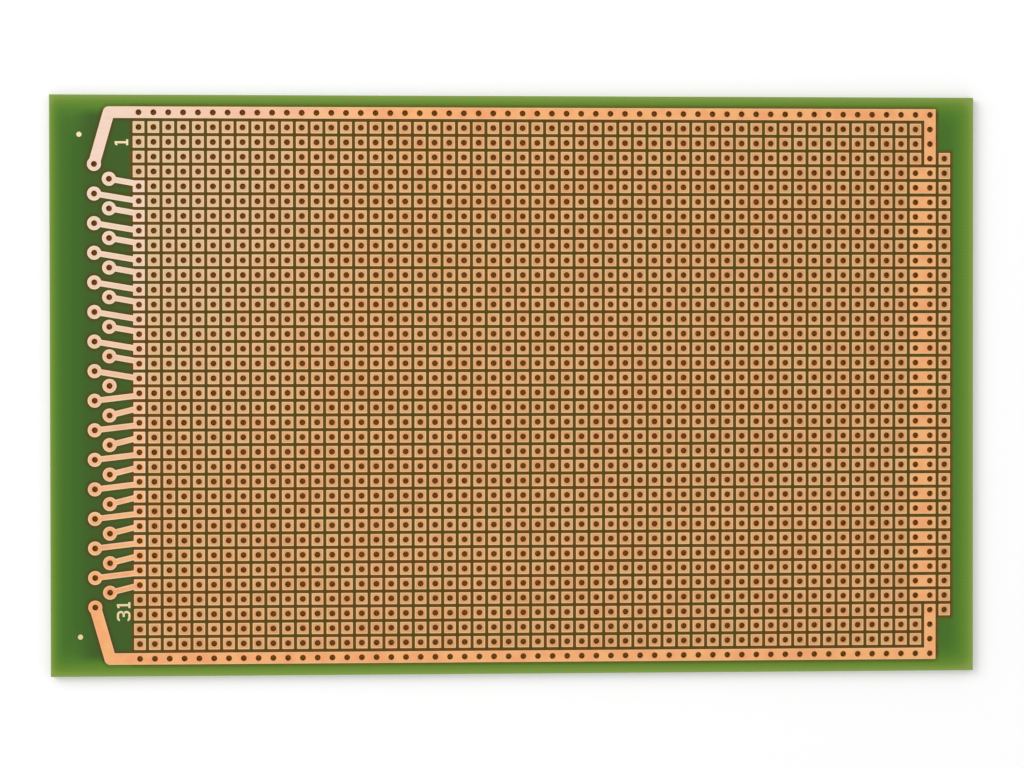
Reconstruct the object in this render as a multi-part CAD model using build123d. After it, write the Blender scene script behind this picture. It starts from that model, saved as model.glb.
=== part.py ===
from build123d import *
from math import atan2, degrees, hypot
import os

# A bare prototype board, in millimetres, seen from its copper side.
# Origin: centre of the board's underside. +X runs away from the contact row, +Z out of the copper side.

# Laminate and copper foil
board_thickness = 1.6
copper_thickness = 0.035

# Grid of drilled holes, with a square pad on each
pitch = 2.54
rows_each_side = 18  # pad rows on each side of the board's middle line
columns = 56  # pad columns, of which the last one holds the end pads
hole_diameter = 1.0
hole_sides = 16  # a hole between the end contacts is drawn with this many sides, 0.01 mm out of round
pad_gap = 0.51
end_distance = 5.06  # from the middle of the end pads to the short edge beside them

# Bus rails along the long edges
rail_distance = 3.01  # from a rail's middle line to the long edge beside it
leg_rows = 3  # pad rows that a rail's square leg runs beside

# Contact row for a connector, in two staggered columns
contacts_each_side = 15  # contacts on each side of the middle one
contact_distance = 7.62  # from the outer contact column to the short edge beside it
pad_steps = 3  # pitches from the outer contact column to the first pad column
land_ring = 0.72  # width of the copper round a contact's hole
track_width = 1.02
track_offset = 0.38  # how far off its pad's middle a shallow track ends

# Dots that mark the places of the connector's two screws
dot_diameter = 0.92
dot_steps = 2  # pitches from the end contact's level to its dot

# Pad rows that share one node
node_rows = 3

# Worked out from the sizes above: the board comes to 160 mm by 100 mm
rows = 2 * rows_each_side
contacts = 2 * contacts_each_side + 1
middle_contact = contacts_each_side + 1
pad_side = pitch - pad_gap
rail_width = pad_side
land_diameter = hole_diameter + 2 * land_ring
board_length = contact_distance + (pad_steps + columns - 1) * pitch + end_distance
rail_y = (rows_each_side + 0.5) * pitch
board_width = 2 * (rail_y + rail_distance)
outer_contact_x = -board_length / 2 + contact_distance
inner_contact_x = outer_contact_x + pitch
first_column_x = outer_contact_x + pad_steps * pitch
end_column = columns - 1
leg_column = columns - 2
link_column = columns - 3


def column_x(column):
    return first_column_x + column * pitch


def row_y(row):
    return (rows_each_side - 0.5 - row) * pitch


def contact_place(contact):
    """Centre of a contact's hole: odd contacts stand in the outer column, even ones in the inner."""
    x = outer_contact_x if contact % 2 else inner_contact_x
    return x, (middle_contact - contact) * pitch


def contact_row(contact):
    """The pad row that a contact's track ends in, half a pitch nearer the board's middle line."""
    row = rows_each_side - middle_contact + contact
    return row if contact < middle_contact else row - 1


def copper(outline):
    return extrude(Pos(0, 0, board_thickness) * outline, copper_thickness)


def hole_outline(contact):
    """A contact's hole: round at the end contacts, which place the connector, and faceted between them."""
    place = Pos(*contact_place(contact))
    if contact in (1, contacts):
        return place * Circle(hole_diameter / 2)
    return place * RegularPolygon(hole_diameter / 2, hole_sides)


def land_outline(place):
    return Pos(*place) * Circle(land_diameter / 2)


def strip_outline(start, end, width):
    """A straight strip whose middle line runs from start to end."""
    across = end[0] - start[0]
    along = end[1] - start[1]
    middle = Pos((start[0] + end[0]) / 2, (start[1] + end[1]) / 2)
    return middle * Rot(0, 0, degrees(atan2(along, across))) * Rectangle(hypot(across, along), width)


def pad_outline(row, first, last):
    """The copper over the holes of one row, from column first to column last."""
    middle_x = (column_x(first) + column_x(last)) / 2
    length = column_x(last) - column_x(first) + pad_side
    return Pos(middle_x, row_y(row)) * Rectangle(length, pad_side)


def laminate():
    board = Rectangle(board_length, board_width)
    for contact in range(1, contacts + 1):
        board -= hole_outline(contact)
    return extrude(board, board_thickness)


def bus_rail():
    """The rail along the back edge, with a slanted leg to contact 1 and a square leg at its other end."""
    land = contact_place(1)
    bend = (inner_contact_x, rail_y)
    corner = (column_x(leg_column), rail_y)
    rail_end = (corner[0] + rail_width / 2, rail_y)
    leg_end = (corner[0], row_y(leg_rows - 1) - pad_side / 2)
    outline = land_outline(land) + strip_outline(land, bend, rail_width)
    outline += Pos(*bend) * Circle(rail_width / 2)
    outline += strip_outline(bend, rail_end, rail_width)
    outline += strip_outline(corner, leg_end, rail_width)
    return copper(outline - hole_outline(1))


def contact_track(contact):
    """A contact's land, its slanted track and the first pad of the row that the track ends in."""
    land = contact_place(contact)
    row = contact_row(contact)
    inner = contact % 2 == 0
    end_shift = 0
    if inner and contact < middle_contact:
        end_shift = track_offset
    if not inner and contact > middle_contact:
        end_shift = -track_offset
    end = (column_x(0), row_y(row) + end_shift)
    outline = land_outline(land) + strip_outline(land, end, track_width) + pad_outline(row, 0, 0)
    return copper(outline - hole_outline(contact))


def middle_land():
    """The middle contact's land, which has no track."""
    outline = land_outline(contact_place(middle_contact))
    return copper(outline - hole_outline(middle_contact))


def pad_row(row):
    """The single pads of one row, joined end to end to keep the model light."""
    tracked = contact_row(2) <= row <= contact_row(contacts - 1)
    linked = leg_rows <= row < rows - leg_rows
    first = 1 if tracked else 0
    last = link_column - 1 if linked else link_column
    return copper(pad_outline(row, first, last))


def link_pads():
    """The pads over two holes, in each row between the legs of the bus rails."""
    return [copper(pad_outline(row, link_column, leg_column)) for row in range(leg_rows, rows - leg_rows)]


def end_pads():
    """The single pads of the last column, which starts and ends level with the legs' last rows."""
    end_rows = range(leg_rows - 1, rows - leg_rows + 1)
    return [copper(pad_outline(row, end_column, end_column)) for row in end_rows]


def screw_dots():
    x = outer_contact_x - pitch
    y = (contacts_each_side + dot_steps) * pitch
    return [copper(Pos(x, side * y) * Circle(dot_diameter / 2)) for side in (1, -1)]


def nodes():
    """Each node's name with its solids."""
    back_rail = bus_rail()
    parts = {"laminate": [laminate()], "bus_rail_back": [back_rail]}
    parts["bus_rail_front"] = [mirror(back_rail, Plane.XZ)]
    for contact in range(2, contacts):
        if contact != middle_contact:
            parts[f"contact_track_{contact:02d}"] = [contact_track(contact)]
    parts[f"contact_land_{middle_contact:02d}"] = [middle_land()]
    for first in range(0, rows, node_rows):
        last = min(first + node_rows, rows) - 1
        name = f"pad_rows_{first + 1:02d}_to_{last + 1:02d}"
        parts[name] = [pad_row(row) for row in range(first, last + 1)]
    parts["link_pads"] = link_pads()
    parts["end_pads"] = end_pads()
    parts["screw_dots"] = screw_dots()
    return parts


os.makedirs("parts", exist_ok=True)
for name, solids in nodes().items():
    export_step(Compound(children=solids), f"parts/{name}.step")
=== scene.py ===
from math import pi, radians

import bpy
from mathutils import Euler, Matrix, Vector


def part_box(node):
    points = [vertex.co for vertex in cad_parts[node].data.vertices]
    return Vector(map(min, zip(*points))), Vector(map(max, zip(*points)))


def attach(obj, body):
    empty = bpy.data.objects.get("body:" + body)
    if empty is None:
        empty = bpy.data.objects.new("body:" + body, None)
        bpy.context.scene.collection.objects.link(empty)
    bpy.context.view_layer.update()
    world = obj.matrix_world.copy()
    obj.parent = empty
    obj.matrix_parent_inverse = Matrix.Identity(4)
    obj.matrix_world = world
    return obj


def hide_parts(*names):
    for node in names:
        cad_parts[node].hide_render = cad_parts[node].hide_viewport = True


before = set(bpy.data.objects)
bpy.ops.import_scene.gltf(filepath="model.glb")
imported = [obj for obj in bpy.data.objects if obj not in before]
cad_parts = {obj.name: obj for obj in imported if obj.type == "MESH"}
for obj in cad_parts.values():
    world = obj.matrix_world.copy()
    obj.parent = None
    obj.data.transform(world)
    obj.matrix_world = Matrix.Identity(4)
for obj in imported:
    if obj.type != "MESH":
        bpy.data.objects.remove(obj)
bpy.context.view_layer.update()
bpy.ops.object.select_all(action="DESELECT")
print("frame loaded")

mm = 0.001
touch = 0.001 * mm  # points this close are one point
seam = 10 * touch  # the points of joined cells may be this far apart
level = 0.9  # a face whose normal rises more than this lies flat
smoothAngle = radians(30)  # faces that meet more gently are shaded as one round wall

# What every copper and laminate piece shares, in millimetres
board = {
    "pitch": 2.54,
    "hole": 1.0,
    "nearHole": 0.6,  # points this near the middle of a hole are on its edge
    "foilHole": 1.04,  # the foil has drawn back a little from the drilled hole
    "holeSides": 16,  # few, because there are two thousand holes
    "shadedShoulder": 0.015,  # the etched slope of each copper edge, drawn flat as a dark line of painted shade
    "rimHighlight": 0.2,  # a band of paler copper inside it, a painted highlight along each copper edge
}
pitch = board["pitch"] * mm

# Places that the solids give, in metres
laminateLow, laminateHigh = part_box("laminate")
firstRowsLow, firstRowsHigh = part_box("pad_rows_01_to_03")
endPadsLow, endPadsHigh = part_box("end_pads")
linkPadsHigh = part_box("link_pads")[1]
landLow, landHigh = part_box("contact_land_16")
padSide = endPadsHigh.x - endPadsLow.x
laminateTop = laminateHigh.z
copperTop = endPadsHigh.z
firstColumnX = firstRowsLow.x + padSide / 2
firstRowY = firstRowsHigh.y - padSide / 2
rows = round(2 * firstRowY / pitch) + 1
endColumn = round((endPadsHigh.x - firstColumnX) / pitch)
legColumn = endColumn - 1
linkColumn = endColumn - 2
legRows = round((firstRowY - linkPadsHigh.y + padSide / 2) / pitch)
innerContactX = (landLow.x + landHigh.x) / 2
outerContactX = innerContactX - pitch
contacts = 31
middleContact = (contacts + 1) // 2


def columnX(column):
    return firstColumnX + column * pitch


def rowY(row):
    return firstRowY - row * pitch


def contactPlace(contact):
    return outerContactX if contact % 2 else innerContactX, (middleContact - contact) * pitch


# Modelling helpers


def activate(piece):
    bpy.ops.object.select_all(action="DESELECT")
    piece.select_set(True)
    bpy.context.view_layer.objects.active = piece


def openEdit(piece):
    activate(piece)
    bpy.ops.object.mode_set(mode="EDIT")
    bpy.ops.mesh.select_all(action="DESELECT")


def closeEdit():
    bpy.ops.object.mode_set(mode="OBJECT")


def pick(piece, kind, wanted):
    # In edit mode, selects the points, edges or faces for which wanted is true, and nothing else
    bpy.ops.mesh.select_mode(type={"vertices": "VERT", "edges": "EDGE", "polygons": "FACE"}[kind])
    bpy.ops.mesh.select_all(action="DESELECT")
    bpy.ops.object.mode_set(mode="OBJECT")
    for item in getattr(piece.data, kind):
        item.select = bool(wanted(item))
    bpy.ops.object.mode_set(mode="EDIT")


def middleOf(piece, edge):
    first, second = (piece.data.vertices[index].co for index in edge.vertices)
    return (first + second) / 2


def pickEdgeAt(piece, x, y):
    place = Vector((x, y, copperTop))
    pick(piece, "edges", lambda edge: (middleOf(piece, edge) - place).length < touch)


def extrude(x, y):
    bpy.ops.mesh.extrude_region_move(TRANSFORM_OT_translate={"value": (x, y, 0)})


def applyModifier(piece, kind, **settings):
    activate(piece)
    modifier = piece.modifiers.new(kind.title(), kind)
    for name, value in settings.items():
        setattr(modifier, name, value)
    bpy.ops.object.modifier_apply(modifier=modifier.name)


def repeat(piece, count, step):
    applyModifier(
        piece, "ARRAY", count=count, use_relative_offset=False, use_constant_offset=True,
        constant_offset_displace=step,
    )


def settle(piece):
    # Puts the piece's place, turn and size into its mesh
    activate(piece)
    bpy.ops.object.transform_apply(location=True, rotation=True, scale=True)


def copyAt(piece, name, offset):
    twin = piece.copy()
    twin.data = piece.data.copy()
    twin.name = name
    bpy.context.scene.collection.objects.link(twin)
    twin.location = offset
    settle(twin)
    return twin


def joined(name, parts):
    activate(parts[0])
    for part in parts:
        part.select_set(True)
    bpy.ops.object.join()
    parts[0].name = name
    return parts[0]


def rectangle(name, width, length, x, y, z):
    bpy.ops.object.select_all(action="DESELECT")
    bpy.ops.mesh.primitive_plane_add(size=1, location=(x, y, z))
    piece = bpy.context.active_object
    piece.name = name
    piece.scale = (width, length, 1)
    settle(piece)
    return piece


def addHoleCircles(places, diameter, height):
    for x, y in places:
        bpy.ops.mesh.primitive_circle_add(
            vertices=board["holeSides"], radius=diameter / 2 * mm, location=(x, y, height)
        )


def faceUp(piece):
    pick(piece, "polygons", lambda face: face.normal.z < 0)
    bpy.ops.mesh.flip_normals()


def giveSlot(piece, index):
    piece.active_material_index = index
    bpy.ops.object.material_slot_assign()


def giveMaterials(piece, *materials):
    piece.data.materials.clear()
    for material in materials:
        piece.data.materials.append(material)


def finishPiece(piece, slot, *nodes):
    # Round walls are shaded smooth and flat faces stay flat
    activate(piece)
    bpy.ops.object.shade_smooth_by_angle(angle=smoothAngle)
    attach(piece, "root")
    if nodes:
        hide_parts(*nodes)


# Material helpers

waveLength = pi / 10  # of a wave texture whose scale is 1


def linear(code):
    # An sRGB colour such as "#3F6B2A" as the linear one that shaders take, by the sRGB standard
    parts = [int(code[start : start + 2], 16) / 255 for start in (1, 3, 5)]
    return [part / 12.92 if part <= 0.04045 else ((part + 0.055) / 1.055) ** 2.4 for part in parts] + [1]


def addNode(material, kind, settings, links):
    # Adds a node, sets its properties, and gives each input a value or another node's output
    node = material.node_tree.nodes.new("ShaderNode" + kind)
    for name, value in settings.items():
        setattr(node, name, value)
    for name, value in links.items():
        if isinstance(value, bpy.types.NodeSocket):
            material.node_tree.links.new(value, node.inputs[name])
        else:
            node.inputs[name].default_value = value
    return node


def work(material, operation, *values):
    return addNode(material, "Math", {"operation": operation}, dict(enumerate(values))).outputs[0]


def fade(material, value, start, end, low=0.0, high=1.0):
    # Goes smoothly from low, at start, to high, at end
    links = {"Value": value, "From Min": start, "From Max": end, "To Min": low, "To Max": high}
    return addNode(material, "MapRange", {"interpolation_type": "SMOOTHSTEP"}, links).outputs[0]


def within(material, value, low, high, soft):
    # 1 between low and high, fading to 0 outside them
    rise = fade(material, value, low - soft, low)
    return work(material, "MULTIPLY", rise, fade(material, value, high, high + soft, 1.0, 0.0))


def blend(material, share, first, second):
    # The Mix node takes its two colours at inputs 6 and 7 and gives their mixture at output 2
    tones = [tone if isinstance(tone, bpy.types.NodeSocket) else linear(tone) for tone in (first, second)]
    links = {0: share, 6: tones[0], 7: tones[1]}
    return addNode(material, "Mix", {"data_type": "RGBA"}, links).outputs[2]


def noise(material, place, sizeMm, detail):
    links = {"Vector": place, "Scale": 1 / sizeMm, "Detail": detail}
    return addNode(material, "TexNoise", {}, links).outputs[0]


def offGrid(material, value, start, step):
    # How far past the nearest of the lines that lie a step apart
    steps = work(material, "DIVIDE", work(material, "SUBTRACT", value, start / mm), step)
    part = work(material, "SUBTRACT", steps, work(material, "ROUND", steps))
    return work(material, "MULTIPLY", part, step)


def reach(material, across, along):
    # The length of the slanted line with these two legs
    squares = [work(material, "MULTIPLY", leg, leg) for leg in (across, along)]
    return work(material, "SQRT", work(material, "ADD", *squares))


def boardPlace(material):
    # The place on the board in millimetres: as a vector, then x, y and z
    place = addNode(material, "TexCoord", {}, {}).outputs["Object"]
    scaled = addNode(material, "VectorMath", {"operation": "SCALE"}, {0: place, "Scale": 1 / mm}).outputs[0]
    axes = addNode(material, "SeparateXYZ", {}, {0: scaled})
    return scaled, axes.outputs[0], axes.outputs[1], axes.outputs[2]


def newMaterial(name, surface):
    material = bpy.data.materials.new(name)
    material.use_nodes = True
    shader = material.node_tree.nodes["Principled BSDF"]
    for socket, value in surface.items():
        shader.inputs[socket].default_value = value
    return material, shader


def connect(material, output, socket):
    material.node_tree.links.new(output, socket)


# Materials

copperLook = {
    # Usual, mottled, and paler and pinker towards the contact corner, a painted highlight of the lamp's
    # glare
    "foil": ("#EEAE72", "#EA9F6C", "#E1C5B5"),
    # The rim tones are a painted highlight along the copper edges
    "foilRimHighlight": ("#E8B684", "#E2AD7A", "#DFCBAE"),
    "landRimHighlight": ("#E2C49C", "#DCBC92", "#DCD2B6"),
    "pad": ("#D8A16F", "#D49667", "#D1B492"),
    "padRimHighlight": ("#DDBA82", "#D7B278", "#D3C398"),
    "figure": ("#E4D2A0", "#DEC996", "#E2D3A8"),
    # Painted shade: the dark line on the etched slope at each copper edge
    "shadedShoulder": ("#4C3B16", "#43340F", "#5A4A24"),
    "surface": {"Metallic": 1.0, "Coat Weight": 0.3, "Coat Roughness": 0.25},
    "mottleMm": 2.5,
    "mottleDetail": 3.0,
    "mottleLevels": (0.35, 0.7),  # of the noise, from no mottle to full mottle
    "glarePlace": (-75.0, 42.0),
    "glareReach": 60.0,
    "glareSquash": 0.75,
    "roughness": 0.42,
    "roughnessSpread": 0.06,
    "scrubMm": 0.25,
    "scrubStretch": (0.12, 1.0, 1.0),  # draws the lines out along the board
    "scrubDetail": 4.0,
    "scrubLevels": (0.3, 0.7),
    "scrubStrength": 0.06,
    "scrubHeightMm": 0.01,
}


def etchedCopper(name, tones):
    # Rolled copper foil, etched, under a thin solder lacquer: a satin metal whose tone drifts over a few
    # millimetres, paler and pinker towards the contact corner as a painted highlight of the lamp's glare,
    # with faint scrub lines along the board
    material, shader = newMaterial(name, copperLook["surface"])
    place, x, y = boardPlace(material)[:3]
    usual, mottled, glareTone = tones
    drift = noise(material, place, copperLook["mottleMm"], copperLook["mottleDetail"])
    mottle = fade(material, drift, *copperLook["mottleLevels"])
    colour = blend(material, mottle, usual, mottled)
    # Painted highlight: the lamp's glare, as paler and pinker copper towards the contact corner
    across = work(material, "SUBTRACT", x, copperLook["glarePlace"][0])
    along = work(material, "SUBTRACT", y, copperLook["glarePlace"][1])
    along = work(material, "MULTIPLY", along, copperLook["glareSquash"])
    away = reach(material, across, along)
    glareShare = fade(material, away, 0.0, copperLook["glareReach"], 1.0, 0.0)
    connect(material, blend(material, glareShare, colour, glareTone), shader.inputs["Base Color"])

    # Scrub lines are about 0.05 mm apart on the real foil and are drawn coarser, so that they show
    links = {"Vector": place, "Scale": copperLook["scrubStretch"]}
    stretched = addNode(material, "Mapping", {}, links).outputs[0]
    scrub = noise(material, stretched, copperLook["scrubMm"], copperLook["scrubDetail"])
    smooth = copperLook["roughness"] - copperLook["roughnessSpread"]
    dull = copperLook["roughness"] + copperLook["roughnessSpread"]
    roughness = fade(material, scrub, *copperLook["scrubLevels"], smooth, dull)
    connect(material, roughness, shader.inputs["Roughness"])
    relief = {"Strength": copperLook["scrubStrength"], "Distance": copperLook["scrubHeightMm"] * mm}
    bump = addNode(material, "Bump", {}, {**relief, "Height": scrub})
    connect(material, bump.outputs[0], shader.inputs["Normal"])
    return material


laminateLook = {
    "tones": {  # from the cut edges inwards, in millimetres
        0.0: "#829C46",
        1.0: "#688932",
        1.6: "#5D8426",
        2.5: "#4F7B26",
        4.0: "#456F24",
        8.0: "#3C6620",
    },
    "surface": {"Roughness": 0.45, "IOR": 1.55, "Specular IOR Level": 0.12},
    "contactEndShare": 2.0,  # how much faster the glow dies out from the contact end
    "cornerMm": 4.0,
    "amongShade": "#3B5A20",  # painted shade among the contact tracks, where the copper around shuts the light out
    "amongShadeInsetMm": 1.0,  # from the middle lines of the rails
    "amongShadeFadeMm": (4.0, 2.0),  # along the board and across it
    "gap": ("#703C02", "#5E4206"),
    "gapDriftMm": 4.0,
    "gapDriftDetail": 1.0,
    "gapDriftLevels": (0.35, 0.65),
    "crossing": "#544006",
    "gapFadeMm": 0.3,
    "border": "#4A4410",
    "borderFadeMm": 0.85,  # how far the brown reaches out from the copper
    "outerShare": 0.4,  # how much of it is left outside the rails
    "trackMm": 1.0,
    "trackFallMm": 1.1,  # towards the middle line, from a land to its pad
    "columnEndMm": 0.1,  # how softly the brown ends past a column's last contact or track
    "padShadeBehind": "#33521D",
    "behindShare": 0.55,
    "behindFadeMm": 0.1,
    "backHeightsMm": (0.3, 0.6),  # the bare side's look ends between these
    "threadMm": 0.6,
    "threadWander": 0.6,
    "threadDetail": 1.0,
    "threadTone": "#2C4A1C",
    "threadShare": 0.1,
    "threadStrength": 0.1,
    "threadHeightMm": 0.02,
    "cutSurface": {"Roughness": 0.8, "Specular IOR Level": 0.1},
    "drilled": ("#C89648", 0.2),  # tone, and the size of its fleck in millimetres
    "sawn": ("#8F9C70", 0.3),
    "fleckTone": "#3A3A18",
    "fleckDetail": 2.0,
    "fleckLevels": (0.35, 0.75),
    "fleckShare": 0.3,
}


def depthTone(material, x, y):
    # Light comes in at the cut edges, so the green is brightest there
    tones = laminateLook["tones"]
    deepest = max(tones)
    fromContacts = work(material, "ADD", x, laminateHigh.x / mm)
    fromContacts = work(material, "MULTIPLY", fromContacts, laminateLook["contactEndShare"])
    fromEnd = work(material, "MINIMUM", fromContacts, work(material, "SUBTRACT", laminateHigh.x / mm, x))
    fromSide = work(material, "SUBTRACT", laminateHigh.y / mm, work(material, "ABSOLUTE", y))
    depth = work(material, "SMOOTH_MIN", fromEnd, fromSide, laminateLook["cornerMm"])
    ramp = addNode(material, "ValToRGB", {}, {0: work(material, "DIVIDE", depth, deepest)})
    for position in list(tones)[2:]:  # a new ramp has two stops
        ramp.color_ramp.elements.new(position / deepest)
    for element, position in zip(ramp.color_ramp.elements, tones):
        element.position = position / deepest
        element.color = linear(tones[position])
    # Painted shade among the contact tracks, where the copper around shuts the light out
    inset = laminateLook["amongShadeInsetMm"]
    fadeAlong, fadeAcross = laminateLook["amongShadeFadeMm"]
    amongShade = work(
        material, "MULTIPLY",
        within(material, x, outerContactX / mm, columnX(0) / mm, fadeAlong),
        within(material, y, rowY(rows) / mm + inset, rowY(-1) / mm - inset, fadeAcross),
    )
    return blend(material, amongShade, ramp.outputs["Color"], laminateLook["amongShade"])


def strip(material, x, y, start, end, width):
    # 1 in a straight strip with round ends whose middle line runs from start to end, fading to 0 around it
    run = Vector(end) - Vector(start)
    way = run.normalized()
    across = work(material, "SUBTRACT", x, start[0])
    along = work(material, "SUBTRACT", y, start[1])
    parts = [work(material, "MULTIPLY", leg, part) for leg, part in ((across, way.x), (along, way.y))]
    done = work(material, "MAXIMUM", work(material, "ADD", *parts), 0.0)
    done = work(material, "MINIMUM", done, run.length)
    across = work(material, "SUBTRACT", across, work(material, "MULTIPLY", done, way.x))
    along = work(material, "SUBTRACT", along, work(material, "MULTIPLY", done, way.y))
    distance = reach(material, across, along)
    return fade(material, distance, width / 2, width / 2 + laminateLook["borderFadeMm"], 1.0, 0.0)


def besideContacts(material, x, y):
    # 1 under the lands, tracks and rails, which shut the light out as the pads do, fading to 0 beside them
    side = work(material, "ABSOLUTE", y)
    soft = laminateLook["columnEndMm"]
    landX, landY = (value / mm for value in contactPlace(1))
    bend = (innerContactX / mm, rowY(-1) / mm)
    railWidth = padSide / mm
    leg = strip(material, x, side, (landX, landY), bend, railWidth)
    rail = strip(material, x, side, bend, (columnX(legColumn) / mm, bend[1]), railWidth)
    near = work(material, "MAXIMUM", leg, rail)
    # In each column: its last contact, then the innermost and the outermost contact that have a track
    for contact, innermost, outermost in ((1, middleContact - 1, 3), (2, middleContact - 2, 2)):
        placeX, lastY = contactPlace(contact)
        along = offGrid(material, side, lastY, 2 * board["pitch"])
        land = (placeX / mm, 0)
        pad = (columnX(0) / mm, -laminateLook["trackFallMm"])
        track = strip(material, x, along, land, pad, laminateLook["trackMm"])
        low = contactPlace(innermost)[1] / mm - board["pitch"]
        high = contactPlace(outermost)[1] / mm + board["pitch"]
        track = work(material, "MULTIPLY", track, within(material, side, low, high, soft))
        ring = strip(material, x, along, land, land, (landHigh.y - landLow.y) / mm)
        last = lastY / mm + board["pitch"]
        ring = work(material, "MULTIPLY", ring, fade(material, side, last, last + soft, 1.0, 0.0))
        near = work(material, "MAXIMUM", near, work(material, "MAXIMUM", ring, track))
    return near


def padField(material, x, y):
    # 1 in the two fields of pads, which are one beside the other, fading to 0 around them
    half = padSide / 2 / mm
    soft = laminateLook["borderFadeMm"]
    fieldX = within(material, x, columnX(0) / mm - half, columnX(legColumn) / mm + half, soft)
    fieldY = within(material, y, rowY(rows) / mm - half, rowY(-1) / mm + half, soft)
    endX = within(material, x, columnX(legColumn) / mm, endPadsHigh.x / mm, soft)
    endY = within(material, y, endPadsLow.y / mm, endPadsHigh.y / mm, soft)
    main = work(material, "MULTIPLY", fieldX, fieldY)
    return work(material, "MAXIMUM", main, work(material, "MULTIPLY", endX, endY))


def glassEpoxy(name):
    # Woven glass cloth in green epoxy, pressed: satin and a little see-through, so it glows towards its cut
    # edges, and it is dark and brownish where copper shuts the light out
    material, shader = newMaterial(name, laminateLook["surface"])
    place, x, y, z = boardPlace(material)
    green = depthTone(material, x, y)
    across = work(material, "ABSOLUTE", offGrid(material, x, firstColumnX, board["pitch"]))
    along = work(material, "ABSOLUTE", offGrid(material, y, firstRowY, board["pitch"]))
    half = padSide / 2 / mm

    # Outside the rails the cut edge is near, and its light leaves less of the brown
    side = work(material, "ABSOLUTE", y)
    railY = rowY(-1) / mm
    outside = fade(material, side, railY, railY + half, 1.0, laminateLook["outerShare"])
    field = work(material, "MULTIPLY", padField(material, x, y), outside)
    beside = work(material, "MULTIPLY", besideContacts(material, x, y), outside)
    drift = noise(material, place, laminateLook["gapDriftMm"], laminateLook["gapDriftDetail"])
    drift = fade(material, drift, *laminateLook["gapDriftLevels"])
    inside = half - laminateLook["gapFadeMm"]
    crossing = work(
        material, "MULTIPLY",
        fade(material, across, inside, half),
        fade(material, along, inside, half),
    )
    gap = blend(material, drift, *laminateLook["gap"])
    gap = blend(material, crossing, gap, laminateLook["crossing"])
    bordered = blend(material, beside, green, laminateLook["border"])
    front = blend(material, field, bordered, gap)

    # The bare side shows each pad faintly through the laminate, as painted shade where the pad shuts the
    # light out
    soft = laminateLook["behindFadeMm"]
    behind = work(
        material, "MULTIPLY",
        fade(material, across, half - soft, half + soft, 1.0, 0.0),
        fade(material, along, half - soft, half + soft, 1.0, 0.0),
    )
    behind = work(material, "MULTIPLY", behind, field)
    behind = work(material, "MULTIPLY", behind, laminateLook["behindShare"])
    back = blend(material, behind, green, laminateLook["padShadeBehind"])
    low = fade(material, z, *laminateLook["backHeightsMm"], 1.0, 0.0)
    colour = blend(material, low, front, back)

    # The cloth's threads, woven both ways
    turns = {
        "Vector": place,
        "Scale": waveLength / laminateLook["threadMm"],
        "Distortion": laminateLook["threadWander"],
        "Detail": laminateLook["threadDetail"],
    }
    warp = addNode(material, "TexWave", {"bands_direction": "X"}, turns).outputs[1]
    weft = addNode(material, "TexWave", {"bands_direction": "Y"}, turns).outputs[1]
    weave = work(material, "MULTIPLY", warp, weft)
    shown = work(material, "MULTIPLY", weave, laminateLook["threadShare"])
    colour = blend(material, shown, colour, laminateLook["threadTone"])
    connect(material, colour, shader.inputs["Base Color"])
    relief = {"Strength": laminateLook["threadStrength"], "Distance": laminateLook["threadHeightMm"] * mm}
    bump = addNode(material, "Bump", {}, {**relief, "Height": weave})
    connect(material, bump.outputs[0], shader.inputs["Normal"])
    return material


def cutLaminate(name, tone, grainMm):
    # Glass and epoxy where a drill or saw has cut it: dull, with the fleck of the cut threads
    material, shader = newMaterial(name, laminateLook["cutSurface"])
    place = boardPlace(material)[0]
    grain = noise(material, place, grainMm, laminateLook["fleckDetail"])
    fleck = fade(material, grain, *laminateLook["fleckLevels"], 0.0, laminateLook["fleckShare"])
    colour = blend(material, fleck, tone, laminateLook["fleckTone"])
    connect(material, colour, shader.inputs["Base Color"])
    return material


foil = etchedCopper("etchedCopperFoil", copperLook["foil"])
foilRimHighlight = etchedCopper("etchedCopperFoilRimHighlight", copperLook["foilRimHighlight"])
landRimHighlight = etchedCopper("etchedCopperLandRimHighlight", copperLook["landRimHighlight"])
padFoil = etchedCopper("etchedCopperPad", copperLook["pad"])
padRimHighlight = etchedCopper("etchedCopperPadRimHighlight", copperLook["padRimHighlight"])
figureFoil = etchedCopper("etchedCopperFigure", copperLook["figure"])
shadedShoulder = etchedCopper("etchedCopperShadedShoulder", copperLook["shadedShoulder"])
laminateFace = glassEpoxy("pressedGlassEpoxy")
drilledWall = cutLaminate("drilledGlassEpoxy", *laminateLook["drilled"])
sawnEdge = cutLaminate("sawnGlassEpoxy", *laminateLook["sawn"])
print("materials ready")

# Copper


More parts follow.
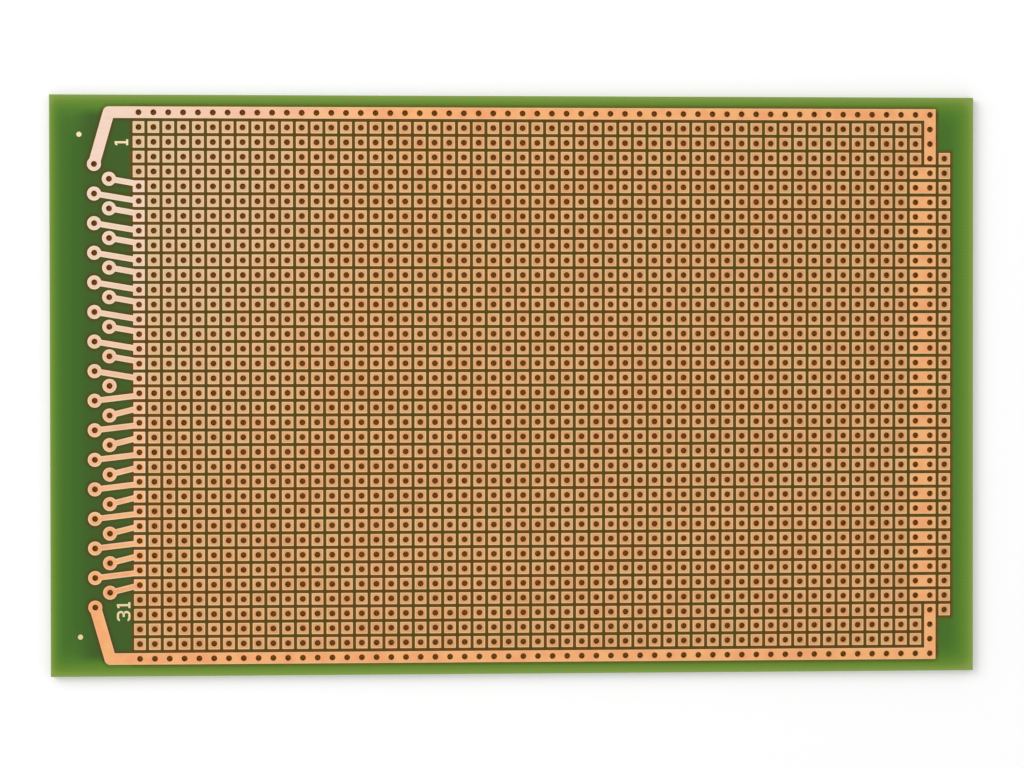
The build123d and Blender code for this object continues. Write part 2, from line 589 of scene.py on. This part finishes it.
def etch(piece, holes, middle, rimHighlight):
    # Gives a flat outline the dark line of painted shade at its edge, a rim of painted highlight, its
    # drilled holes and the foil's thickness
    giveMaterials(piece, middle, rimHighlight, shadedShoulder)  # slots 0, 1 and 2
    openEdit(piece)
    bpy.ops.mesh.select_mode(type="FACE")
    bpy.ops.mesh.select_all(action="SELECT")
    giveSlot(piece, 1)
    bpy.ops.mesh.inset(thickness=board["shadedShoulder"] * mm, depth=0)
    # The band round the edge is a dark line of painted shade
    bpy.ops.mesh.select_all(action="INVERT")
    giveSlot(piece, 2)
    bpy.ops.mesh.select_all(action="INVERT")
    # Inside that line, a band of paler copper as a painted highlight along the edge
    bpy.ops.mesh.inset(thickness=board["rimHighlight"] * mm, depth=0)
    giveSlot(piece, 0)
    if holes:
        bpy.ops.mesh.hide(unselected=True)
        bpy.ops.mesh.delete(type="ONLY_FACE")
        bpy.ops.mesh.select_mode(type="EDGE")
        addHoleCircles(holes, board["foilHole"], copperTop)
        bpy.ops.mesh.select_all(action="SELECT")
        bpy.ops.mesh.fill(use_beauty=True)
        giveSlot(piece, 0)
        bpy.ops.mesh.reveal(select=False)
    faceUp(piece)
    closeEdit()
    applyModifier(piece, "SOLIDIFY", thickness=copperTop - laminateTop, offset=-1)
    return piece


def outlineOf(node, name, contactHoles):
    # The upper face of a solid as one flat face, with its contact hole closed for now
    piece = bpy.data.objects.new(name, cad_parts[node].data.copy())
    bpy.context.scene.collection.objects.link(piece)
    openEdit(piece)
    bpy.ops.mesh.customdata_custom_splitnormals_clear()
    bpy.ops.mesh.select_all(action="SELECT")
    bpy.ops.mesh.remove_doubles(threshold=touch)
    pick(piece, "polygons", lambda face: face.normal.z > level)
    bpy.ops.mesh.region_to_loop()
    bpy.ops.mesh.select_all(action="INVERT")
    bpy.ops.mesh.delete(type="EDGE")
    nearHole = board["nearHole"] * mm

    def onHole(point):
        return any((point.co.xy - Vector(place)).length < nearHole for place in contactHoles)

    pick(piece, "vertices", lambda point: point.co.z < copperTop - touch or onHole(point))
    bpy.ops.mesh.delete(type="VERT")
    bpy.ops.mesh.select_all(action="SELECT")
    bpy.ops.mesh.edge_face_add()
    closeEdit()
    return piece


def singlePads():
    pad = rectangle("pad", padSide, padSide, columnX(0), rowY(0), copperTop)
    etch(pad, [(columnX(0), rowY(0))], padFoil, padRimHighlight)
    rowsInNode = 3
    for first in range(0, rows, rowsInNode):
        span = f"{first + 1:02d}_to_{first + rowsInNode:02d}"
        padRows = []
        for row in range(first, first + rowsInNode):
            tracked = legRows < row < rows - legRows - 1
            linked = legRows <= row < rows - legRows
            firstColumn = 1 if tracked else 0
            lastColumn = linkColumn - 1 if linked else linkColumn
            padRow = copyAt(pad, "strip", (firstColumn * pitch, -row * pitch, 0))
            repeat(padRow, lastColumn - firstColumn + 1, (pitch, 0, 0))
            padRows.append(padRow)
        finishPiece(joined("singlePads_" + span, padRows), "copper", "pad_rows_" + span)
    ends = copyAt(pad, "endPads", (endColumn * pitch, (1 - legRows) * pitch, 0))
    repeat(ends, rows - 2 * legRows + 2, (0, -pitch, 0))
    finishPiece(ends, "copper", "end_pads")
    bpy.data.objects.remove(pad)


def linkPads():
    middle = (columnX(linkColumn) + columnX(legColumn)) / 2
    pads = rectangle("linkPads", pitch + padSide, padSide, middle, rowY(legRows), copperTop)
    etch(pads, [(columnX(column), rowY(legRows)) for column in (linkColumn, legColumn)], foil, padRimHighlight)
    repeat(pads, rows - 2 * legRows, (0, -pitch, 0))
    finishPiece(pads, "copper", "link_pads")


def busRail(side, node, contact, railRow, rowStep):
    holes = [contactPlace(contact)]
    holes += [(columnX(column), rowY(railRow)) for column in range(legColumn + 1)]
    holes += [(columnX(legColumn), rowY(railRow + rowStep * step)) for step in range(1, legRows + 1)]
    rail = outlineOf(node, f"busRail{side}", [contactPlace(contact)])
    finishPiece(etch(rail, holes, foil, foilRimHighlight), "copper", node)


def contactTracks():
    for contact in range(2, contacts):
        holes = [contactPlace(contact)]
        if contact == middleContact:
            name, node = "contactLand_16", "contact_land_16"
        else:
            name, node = f"contactTrack_{contact:02d}", f"contact_track_{contact:02d}"
            row = rows // 2 - middleContact + contact
            if contact > middleContact:
                row -= 1
            holes.append((columnX(0), rowY(row)))
        piece = outlineOf(node, name, [contactPlace(contact)])
        finishPiece(etch(piece, holes, foil, landRimHighlight), "copper", node)


def locatingDots():
    dots = outlineOf("screw_dots", "locatingDots", [])
    finishPiece(etch(dots, [], figureFoil, figureFoil), "copper", "screw_dots")


singlePads()
linkPads()
busRail("Back", "bus_rail_back", contact=1, railRow=-1, rowStep=1)
busRail("Front", "bus_rail_front", contact=contacts, railRow=rows, rowStep=-1)
contactTracks()
locatingDots()
print("copper ready")

# Contact numbers, in copper, with their tops towards the contact end, in millimetres. Each figure is drawn
# upright at the origin first.

figures = {
    "height": 2.35,
    "stroke": 0.4,
    "foot": 1.05,
    "flag": (-0.32, -0.16),
    "threeWidth": 1.8,
    "threeBar": 0.4,
    "hookShare": 0.7,  # of the bowl's radius, for the two ends of the 3
    "bowlSteps": 10,
    # Where their feet stand: the 1 by itself, then the 1 and the 3 of 31
    "feet": ((-66.5, 41.83), (-66.36, -37.72), (-66.36, -39.59)),
}


def figureOne():
    stroke = figures["stroke"] * mm
    foot = figures["foot"] * mm
    top = figures["height"] * mm
    cells = 3  # the middle one of the foot is as wide as the stroke that stands on it
    bpy.ops.object.select_all(action="DESELECT")
    bpy.ops.mesh.primitive_grid_add(
        x_subdivisions=cells, y_subdivisions=1, size=1, location=(0, stroke / 2, copperTop)
    )
    one = bpy.context.active_object
    one.scale = (foot, stroke, 1)
    settle(one)
    openEdit(one)
    pick(one, "vertices", lambda point: abs(point.co.x) < foot / 2 - touch)
    bpy.ops.transform.resize(value=(cells * stroke / foot, 1, 1))
    pickEdgeAt(one, 0, stroke)
    extrude(0, top - 2 * stroke)
    extrude(0, stroke)
    pickEdgeAt(one, -stroke / 2, top - stroke / 2)
    extrude(figures["flag"][0] * mm, figures["flag"][1] * mm)
    closeEdit()
    return one


def figureThree():
    # The upper half as one strip that goes round the bowl, then its mirror image below
    stroke = figures["stroke"] * mm
    height = figures["height"] * mm
    bowl = (height - stroke) / 4  # radius of a bowl's middle line, with two bowls in the height
    hook = bowl * figures["hookShare"]
    steps = figures["bowlSteps"]
    startX = figures["threeWidth"] / 2 * mm - stroke / 2 - bowl
    hookX = stroke / 2 + hook - figures["threeWidth"] / 2 * mm
    topY = height - stroke / 2
    three = rectangle("three", startX - hookX, stroke, (startX + hookX) / 2, topY, copperTop)
    openEdit(three)
    pickEdgeAt(three, startX, topY)
    bpy.ops.mesh.spin(steps=steps, angle=pi, center=(startX, topY - bowl, copperTop), axis=(0, 0, 1))
    extrude(-figures["threeBar"] * mm, 0)
    pickEdgeAt(three, hookX, topY)
    bpy.ops.mesh.spin(
        steps=steps // 2, angle=-pi / 2, center=(hookX, topY - hook, copperTop), axis=(0, 0, 1)
    )
    bpy.ops.mesh.select_all(action="SELECT")
    bpy.ops.mesh.bisect(plane_co=(0, height / 2, 0), plane_no=(0, 1, 0), clear_inner=True)
    closeEdit()
    lower = copyAt(three, "lowerHalf", (0, 0, 0))
    lower.scale.y = -1
    lower.location.y = height
    settle(lower)
    return joined("three", [three, lower])


def contactNumbers():
    one = figureOne()
    parts = [one, copyAt(one, "one", (0, 0, 0)), figureThree()]
    for part, (x, y) in zip(parts, figures["feet"]):
        part.rotation_euler.z = radians(90)
        part.location = (x * mm, y * mm, 0)
        settle(part)
    numbers = joined("contactNumbers", parts)
    giveMaterials(numbers, figureFoil, shadedShoulder)  # slots 0 and 1
    openEdit(numbers)
    bpy.ops.mesh.select_all(action="SELECT")
    bpy.ops.mesh.remove_doubles(threshold=touch)
    faceUp(numbers)
    bpy.ops.mesh.select_all(action="SELECT")
    # The band round each figure's edge is a dark line of painted shade
    giveSlot(numbers, 1)
    bpy.ops.mesh.inset(thickness=board["shadedShoulder"] * mm, depth=0)
    giveSlot(numbers, 0)
    closeEdit()
    applyModifier(numbers, "SOLIDIFY", thickness=copperTop - laminateTop, offset=-1)
    finishPiece(numbers, "copper")


contactNumbers()
print("figures ready")

# Laminate


def drilledCell(name, x, y, length, sidePoints):
    # One hole in a rectangle of laminate, whose long sides get a point at the hole's level if asked
    cell = rectangle(name, pitch, length, x, y, laminateTop)
    openEdit(cell)
    bpy.ops.mesh.select_all(action="SELECT")
    bpy.ops.mesh.delete(type="ONLY_FACE")
    if sidePoints:
        pick(cell, "edges", lambda edge: abs(middleOf(cell, edge).y - y) < touch)
        bpy.ops.mesh.subdivide(number_cuts=1)
    addHoleCircles([(x, y)], board["hole"], laminateTop)
    bpy.ops.mesh.select_all(action="SELECT")
    bpy.ops.mesh.fill(use_beauty=True)
    closeEdit()
    return cell


def plainSheet(left, right, border):
    # A flat sheet of grid cells, with margins drawn out to the board's edges
    columns = round((right - left) / pitch)
    lines = round(2 * border / pitch)
    bpy.ops.object.select_all(action="DESELECT")
    bpy.ops.mesh.primitive_grid_add(
        x_subdivisions=columns, y_subdivisions=lines, size=1, location=((left + right) / 2, 0, laminateTop)
    )
    sheet = bpy.context.active_object
    sheet.scale = (right - left, 2 * border, 1)
    settle(sheet)
    openEdit(sheet)
    pick(sheet, "edges", lambda edge: middleOf(sheet, edge).x > right - touch)
    extrude(laminateHigh.x - right, 0)
    pick(sheet, "edges", lambda edge: middleOf(sheet, edge).x < left + touch)
    extrude(laminateLow.x - left, 0)
    pick(sheet, "edges", lambda edge: middleOf(sheet, edge).y > border - touch)
    extrude(0, laminateHigh.y - border)
    pick(sheet, "edges", lambda edge: middleOf(sheet, edge).y < touch - border)
    extrude(0, laminateLow.y + border)
    closeEdit()
    return sheet


def isDrilled(x, y):
    # Whether the grid cell that holds this place has a hole, or half of one in the contact row
    column = round((x - firstColumnX) / pitch)
    row = round((firstRowY - y) / pitch)
    if 0 <= column <= legColumn:
        return -1 <= row <= rows and abs(y) < rowY(-1) + pitch / 2
    if column == endColumn:
        return legRows - 1 <= row <= rows - legRows and x < columnX(endColumn) + pitch / 2
    if abs(x - innerContactX) < pitch / 2:
        return abs(y) < contactPlace(2)[1] + pitch
    return abs(x - outerContactX) < pitch / 2 and abs(y) < contactPlace(1)[1] + pitch


def onOutline(place):
    return abs(place.x) > laminateHigh.x - touch or abs(place.y) > laminateHigh.y - touch


def drilledLaminate():
    sheet = plainSheet(outerContactX - pitch / 2, columnX(endColumn) + pitch / 2, rowY(-1) + pitch / 2)
    openEdit(sheet)
    pick(sheet, "polygons", lambda face: isDrilled(face.center.x, face.center.y))
    bpy.ops.mesh.delete(type="FACE")
    closeEdit()

    # Drilled cells take the place of the plain ones
    field = drilledCell("field", columnX(0), rowY(-1), pitch, sidePoints=False)
    ends = copyAt(field, "ends", (endColumn * pitch, -legRows * pitch, 0))
    repeat(field, legColumn + 1, (pitch, 0, 0))
    repeat(field, rows + 2, (0, -pitch, 0))
    repeat(ends, rows - 2 * legRows + 2, (0, -pitch, 0))
    outer = drilledCell("outer", *contactPlace(1), 2 * pitch, sidePoints=True)
    inner = copyAt(outer, "inner", (pitch, -pitch, 0))
    repeat(outer, contacts // 2 + 1, (0, -2 * pitch, 0))
    repeat(inner, contacts // 2, (0, -2 * pitch, 0))
    whole = joined("drilledLaminate", [sheet, field, ends, outer, inner])
    openEdit(whole)
    bpy.ops.mesh.select_all(action="SELECT")
    bpy.ops.mesh.remove_doubles(threshold=seam)
    faceUp(whole)
    closeEdit()
    applyModifier(whole, "SOLIDIFY", thickness=laminateTop - laminateLow.z, offset=-1)

    giveMaterials(whole, laminateFace, drilledWall, sawnEdge)  # slots 0, 1 and 2
    openEdit(whole)
    pick(whole, "polygons", lambda face: abs(face.normal.z) < level and not onOutline(face.center))
    giveSlot(whole, 1)
    pick(whole, "polygons", lambda face: abs(face.normal.z) < level and onOutline(face.center))
    giveSlot(whole, 2)
    closeEdit()
    finishPiece(whole, "laminate", "laminate")


drilledLaminate()
print("laminate ready")

# Floor, light and camera

studio = {
    # In metres, apart from the shade
    "floorSize": 3.0,
    "floorSurface": {"Roughness": 0.9, "Specular IOR Level": 0.0},
    "floorTone": "#FEFEFE",
    "shadeTone": "#FABE5C",  # the floor under the board, seen only through its holes
    "shadeInsetMm": 1.0,
    "shadeFadeMm": 0.25,
    "skyLevel": 0.8,
    "shownLevel": 1.0,  # what the camera and shiny surfaces see of the sky
    "lampPlace": (-0.9, 0.6, 0.9),
    "lampSize": 0.9,
    "lampPower": 8.0,
}


def paleFloor():
    floor = rectangle("floor", studio["floorSize"], studio["floorSize"], 0, 0, 0)
    material, shader = newMaterial("paintedFloor", studio["floorSurface"])
    x, y = boardPlace(material)[1:3]
    halfLength = laminateHigh.x / mm - studio["shadeInsetMm"]
    halfWidth = laminateHigh.y / mm - studio["shadeInsetMm"]
    under = work(
        material, "MULTIPLY",
        within(material, x, -halfLength, halfLength, studio["shadeFadeMm"]),
        within(material, y, -halfWidth, halfWidth, studio["shadeFadeMm"]),
    )
    tone = blend(material, under, studio["floorTone"], studio["shadeTone"])
    connect(material, tone, shader.inputs["Base Color"])
    giveMaterials(floor, material)


def softSky():
    world = bpy.data.worlds.new("softSky")
    bpy.context.scene.world = world
    world.use_nodes = True
    sky = world.node_tree.nodes["Background"]
    sky.inputs["Color"].default_value = (1, 1, 1, 1)
    rays = addNode(world, "LightPath", {}, {}).outputs
    seen = work(world, "MAXIMUM", rays["Is Camera Ray"], rays["Is Glossy Ray"])
    seen = work(world, "MAXIMUM", seen, rays["Is Transmission Ray"])
    level = fade(world, seen, 0.0, 1.0, studio["skyLevel"], studio["shownLevel"])
    connect(world, level, sky.inputs["Strength"])


def keyLamp():
    bpy.ops.object.light_add(type="AREA", location=studio["lampPlace"])
    lamp = bpy.context.active_object
    lamp.name = "keyLamp"
    lamp.data.size = studio["lampSize"]
    lamp.data.energy = studio["lampPower"]
    lamp.rotation_euler = Vector(studio["lampPlace"]).to_track_quat("Z", "Y").to_euler()


# The view that the picture was taken from, found from the grid of holes, in millimetres and degrees
view = {
    "lens": 80.0,
    "distance": 394.0,
    "aim": (-0.624, 0.202),
    "tilt": (-0.531, -2.539, -0.082),
}


def cameraAbove():
    turn = Euler([radians(angle) for angle in view["tilt"]])
    back = Vector((0, 0, view["distance"] * mm))
    back.rotate(turn)
    place = Vector((view["aim"][0] * mm, view["aim"][1] * mm, copperTop)) + back
    bpy.ops.object.camera_add(location=place, rotation=turn)
    camera = bpy.context.active_object
    camera.data.lens = view["lens"]
    bpy.context.scene.camera = camera


paleFloor()
softSky()
keyLamp()
cameraAbove()
bpy.context.scene.view_settings.view_transform = "Standard"
print("studio ready")
